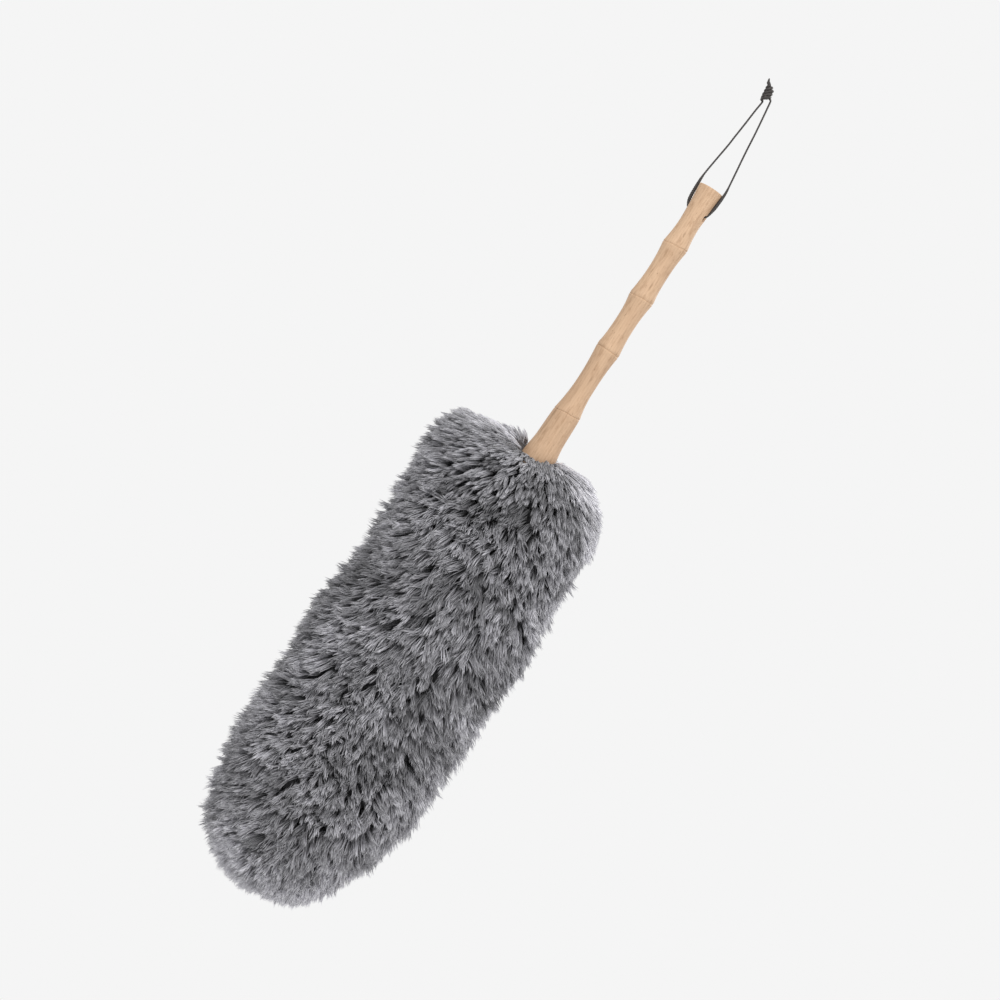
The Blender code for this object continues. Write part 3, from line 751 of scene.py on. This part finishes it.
strands_a_lock, strand_rings, strand_sides = 9, 2, 3
strand_levels = np.array([0.0, 0.42, 0.84, 1.0])
strand_radii = np.array([0.00039, 0.00029])
strand_bends = ((0.5, 0.0), (1.0, 0.6), (1.25, 1.6))
root_spread, clump_pinch, lock_pinch = 0.0020, 0.33, 0.66
strand_lengths, strand_lean, strand_sway, strand_jitter = (0.78, 1.04), 3.2, 4, 0.00015
shade_columns = 64


def grow_strands(locks):
    """Points of every strand of these locks, strand by strand: its root, two rings of three and its tip."""
    lock = np.repeat(locks, strands_a_lock)
    count = len(lock)
    spread, angle = root_spread * np.sqrt(dice.uniform(0, 1, count)), dice.uniform(0, 2 * math.pi, count)
    root = lock_point[lock] + lock_round[lock] * (spread * np.cos(angle))[:, None]
    root = root + lock_down[lock] * (spread * np.sin(angle))[:, None]
    length = lock_length[lock] * dice.uniform(*strand_lengths, count)
    loose = 0.4 + 0.6 * on_side[lock]
    tilt = lean[lock] + np.radians(dice.normal(0, strand_lean, count)) * loose
    sway = aside[lock] + np.radians(dice.normal(0, strand_sway, count)) * loose
    levels = strand_levels + dice.uniform(-0.05, 0.05, (count, 1)) * np.array([0, 1, 1, 0])
    clump = lock_clump[lock]
    path, line = np.zeros((count, 3)), [root]
    for step, (bend, curl) in enumerate(strand_bends):
        fall = (tilt * (bend + curl * lock_curl[lock]))[:, None]
        ahead = lock_out[lock] * np.cos(fall) + lock_down[lock] * np.sin(fall)
        ahead = ahead * np.cos(sway)[:, None] + lock_round[lock] * np.sin(sway)[:, None]
        ahead = ahead + to_left * swept[lock, None]
        share = levels[:, step + 1]
        path = path + ahead * (length * (share - levels[:, step]))[:, None]
        from_clump, from_lock = lock_point[lock] - clump_point[clump], root - lock_point[lock]
        place = clump_point[clump] + from_clump * (1 - clump_pinch * share**1.6)[:, None]
        place = place + from_lock * (1 - lock_pinch * share**1.4)[:, None]
        line.append(place + path + dice.normal(0, strand_jitter, (count, 3)) * share[:, None])
    line = np.stack(line, axis=1)
    ahead = unit(np.gradient(line, axis=1))[:, 1:-1]
    across = unit(np.cross(ahead, unit(dice.normal(0, 1, (count, 1, 3)))))
    deep = np.cross(ahead, across)
    corners = np.arange(strand_sides) * 2 * math.pi / strand_sides
    rim = across[:, :, None] * np.cos(corners)[:, None] + deep[:, :, None] * np.sin(corners)[:, None]
    size = strand_radii * dice.uniform(0.85, 1.15, (count, 1))
    rings = line[:, 1:-1, None] + size[..., None, None] * rim
    return np.concatenate([line[:, :1], rings.reshape(count, -1, 3), line[:, -1:]], axis=1), levels, lock


# The faces of one strand, and where each of their corners lies: across its shade's column and by level
strand_faces, strand_corners = [], []
tip_point = 1 + strand_rings * strand_sides
for side in range(strand_sides):
    after, far = (side + 1) % strand_sides, tip_point - strand_sides
    strand_faces += [(0, 1 + after, 1 + side), (far + side, far + after, tip_point)]
    strand_corners += [(side + 0.5, 0), (side + 1, 1), (side, 1)]
    strand_corners += [(side, strand_rings), (side + 1, strand_rings), (side + 0.5, strand_rings + 1)]
    for low in range(1, far, strand_sides):
        ring = (low + strand_sides - 1) // strand_sides
        strand_faces.append((low + side, low + after, low + strand_sides + after, low + strand_sides + side))
        strand_corners += [(side, ring), (side + 1, ring), (side + 1, ring + 1), (side, ring + 1)]
face_sizes, face_points = np.array([len(face) for face in strand_faces]), np.concatenate(strand_faces)
corner_across = np.array([across for across, _ in strand_corners])
corner_ring = np.array([ring for _, ring in strand_corners])


def pile_piece(name, locks):
    """All strands of these locks as one mesh, with a map that runs across by shade and up along a strand."""
    points, levels, lock = grow_strands(locks)
    count, size = points.shape[:2]
    mesh = bpy.data.meshes.new(name)
    mesh.vertices.add(count * size)
    mesh.vertices.foreach_set("co", points.astype(np.float32).ravel())
    corners = (np.arange(count)[:, None] * size + face_points).ravel()
    mesh.loops.add(len(corners))
    mesh.loops.foreach_set("vertex_index", corners.astype(np.int32))
    starts = np.concatenate([[0], np.cumsum(np.tile(face_sizes, count))[:-1]])
    mesh.polygons.add(len(starts))
    mesh.polygons.foreach_set("loop_start", starts.astype(np.int32))
    mesh.update(calc_edges=True)
    mesh.shade_smooth()
    light = shade_mean + lock_tone_and_painted_light[lock] + dice.normal(0, strand_chance, count)
    light = light + band_light * top_light[lock]
    column = np.clip((light * shade_columns).astype(int), 0, shade_columns - 1)
    across = (column[:, None] + 0.1 + 0.8 * corner_across / strand_sides) / shade_columns
    up = np.take_along_axis(levels, np.broadcast_to(corner_ring, (count, len(corner_ring))), axis=1)
    up = up + (1 - up) * band_lift * top_light[lock, None]
    up = 0.02 + 0.96 * up
    layer = mesh.uv_layers.new(name="OFBake")
    layer.uv.foreach_set("vector", np.stack([across, up], axis=-1).astype(np.float32).ravel())
    piece = bpy.data.objects.new(name, mesh)
    bpy.context.scene.collection.objects.link(piece)
    return piece


pile = new_finish(
    "microfibre_pile",
    Roughness=0.85,
    Specular_IOR_Level=0.2,
    Sheen_Weight=0.3,
    Sheen_Roughness=0.5,
)
own_map = pile.node("ShaderNodeUVMap", {"uv_map": "OFBake"})
split = pile.node("ShaderNodeSeparateXYZ", None, {0: own_map})
shade, up = Wire(pile, split.socket), Wire(pile, split.socket.node.outputs[1])
hairs = pile.noise(pile.stretched(own_map, (1, 0.012, 1)), 420, 2)
marl = pile.noise(pile.stretched(own_map, (1, 0.1, 1)), 90, 2)
pile_colour = pile.ramp(
    up,
    (0.0, (0.215, 0.214, 0.228)),
    (0.42, (0.262, 0.261, 0.278)),
    (0.74, (0.430, 0.425, 0.452)),
    (1.0, (0.650, 0.645, 0.672)),
)
hairs, marl = (pile.levels(noise, 0.3, 0.7, -0.06, 0.06) for noise in (hairs, marl))
strength = shade * 1.25 + hairs + marl + 0.42
grey = pile.node("ShaderNodeCombineXYZ", None, {0: strength, 1: strength, 2: strength})
pile.fill(pile.shader, {"Base Color": pile.mix(1.0, pile_colour, grey, "MULTIPLY")})

turn_heights = [first_turn_end - turn_pitch * turn for turn in range(7)]
turn_runs = [0.0, *np.interp([-height for height in turn_heights], -base[:, 1], base_run)]
turn_runs += [turn_runs[-1] + (base_run[-1] - turn_runs[-1]) * 0.5, base_run[-1] + 1]
for node, start, end in zip(turn_names, turn_runs, turn_runs[1:]):
    piece = pile_piece(f"pile_{node[6:]}", np.flatnonzero((lock_run >= start) & (lock_run < end)))
    piece.data.materials.append(pile.owner)
    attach(piece, "duster")
    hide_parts(node)

# Backing: the strip's knitted ground, wound into a firm dark sleeve on the core. The pile grows from it, and
# the handle's foot is sunk into its top.
core_radius, core_end, backing_sides = 0.0080, -0.6550, 96
side_gap, end_gap, under_roots = 0.0003, 0.0004, 0.0005
core_opening, foot_opening = core_radius + side_gap, foot_diameter / 2 + side_gap
sunk_run, sunk_base = base_run[20:-20:40], base[20:-20:40]
backing_outline = [
    (0, core_end - side_gap),
    (core_opening, core_end - side_gap),
    (core_opening, foot_height - end_gap),
    (foot_opening, foot_height - end_gap),
    *sunk_base,
    (0, base[-1, 1] + end_gap),
]
points, faces = turned(backing_outline, backing_sides)
rows = len(sunk_base)
first = (len(backing_outline) - rows - 2) * backing_sides
around = np.tile(np.linspace(0, 2 * math.pi, backing_sides, endpoint=False), rows)
on_base, outward, _, _ = at_base(np.repeat(sunk_run, backing_sides), around)
points[first : first + rows * backing_sides] = on_base - outward * under_roots
ground = new_piece("strip_backing", points, [tuple(reversed(face)) for face in faces])
ground.data.shade_smooth()
ground.data.set_sharp_from_angle(angle=math.radians(40))
knit = new_finish("knitted_ground", Roughness=0.95)
loops_of_knit = knit.noise(knit.places(), 900)
knit.fill(
    knit.shader,
    {
        "Base Color": knit.mix(loops_of_knit, (0.130, 0.129, 0.138), (0.200, 0.199, 0.210)),
        "Normal": knit.bump(loops_of_knit, 0.8, 0.0006),
    },
)
ground.data.materials.append(knit.owner)
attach(ground, "duster")

# Studio: a pale round floor below the duster, four soft lamps and an even pale surrounding
floor_height, floor_radius, floor_sides = -1.02, 0.56, 128
pale, room_light = 0.913, 0.45
around = np.linspace(0, 2 * math.pi, floor_sides, endpoint=False)
floor_points = [(floor_radius * math.cos(a), floor_radius * math.sin(a), floor_height) for a in around]
floor = new_piece("floor", floor_points, [tuple(range(floor_sides))], smooth=False)
floor_finish = new_finish("pale_floor", Roughness=0.8)
speckle = floor_finish.noise(floor_finish.places(), 30)
floor_colour = floor_finish.mix(speckle, (0.87, 0.87, 0.87), (0.90, 0.90, 0.90))
floor_finish.fill(floor_finish.shader, {"Base Color": floor_colour})
floor.data.materials.append(floor_finish.owner)


def soft_lamp(name, place, aim, size, power):
    data = bpy.data.lights.new(name, "AREA")
    data.shape, data.size, data.energy = "DISK", size, power
    lamp = bpy.data.objects.new(name, data)
    lamp.location = place
    lamp.rotation_euler = (aim - place).to_track_quat("-Z", "Y").to_euler()
    bpy.context.scene.collection.objects.link(lamp)


aim = Vector((0, 0, -0.40))
# Each lamp: how far towards the camera, to the right and up it stands, its size and its power
lamps = (
    ("key", 1.6, -0.72, 1.1, 1.3, 24),
    ("fill", 1.4, 1.5, -0.1, 1.5, 12),
    ("back", -1.2, 0.9, 0.7, 1.5, 17),
    ("under", -1.2, 0.1, -0.85, 1.2, 8),
)
for name, ahead, right, up, size, power in lamps:
    soft_lamp(name, to_camera * ahead + level_right * right + upright * up, aim, size, power)

world = bpy.data.worlds.new("studio")
bpy.context.scene.world = world
around_it = Recipe(world)
sky = around_it.tree.nodes["Background"]
path = around_it.tree.nodes.new("ShaderNodeLightPath")
camera_ray, glossy_ray, clear_ray = (
    Wire(around_it, path.outputs[f"Is {ray} Ray"]) for ray in ("Camera", "Glossy", "Transmission")
)
seen = camera_ray + glossy_ray + clear_ray
around_it.fill(sky, {"Color": (pale, pale, pale, 1.0)})
plain = around_it.node("ShaderNodeBackground", None, {"Color": (1, 1, 1, 1), "Strength": room_light})
both = around_it.node("ShaderNodeMixShader", None, {0: seen, 1: plain, 2: Wire(around_it, sky.outputs[0])})
around_it.tree.links.new(both.socket, around_it.tree.nodes["World Output"].inputs[0])

bpy.context.scene.view_settings.view_transform = "Standard"
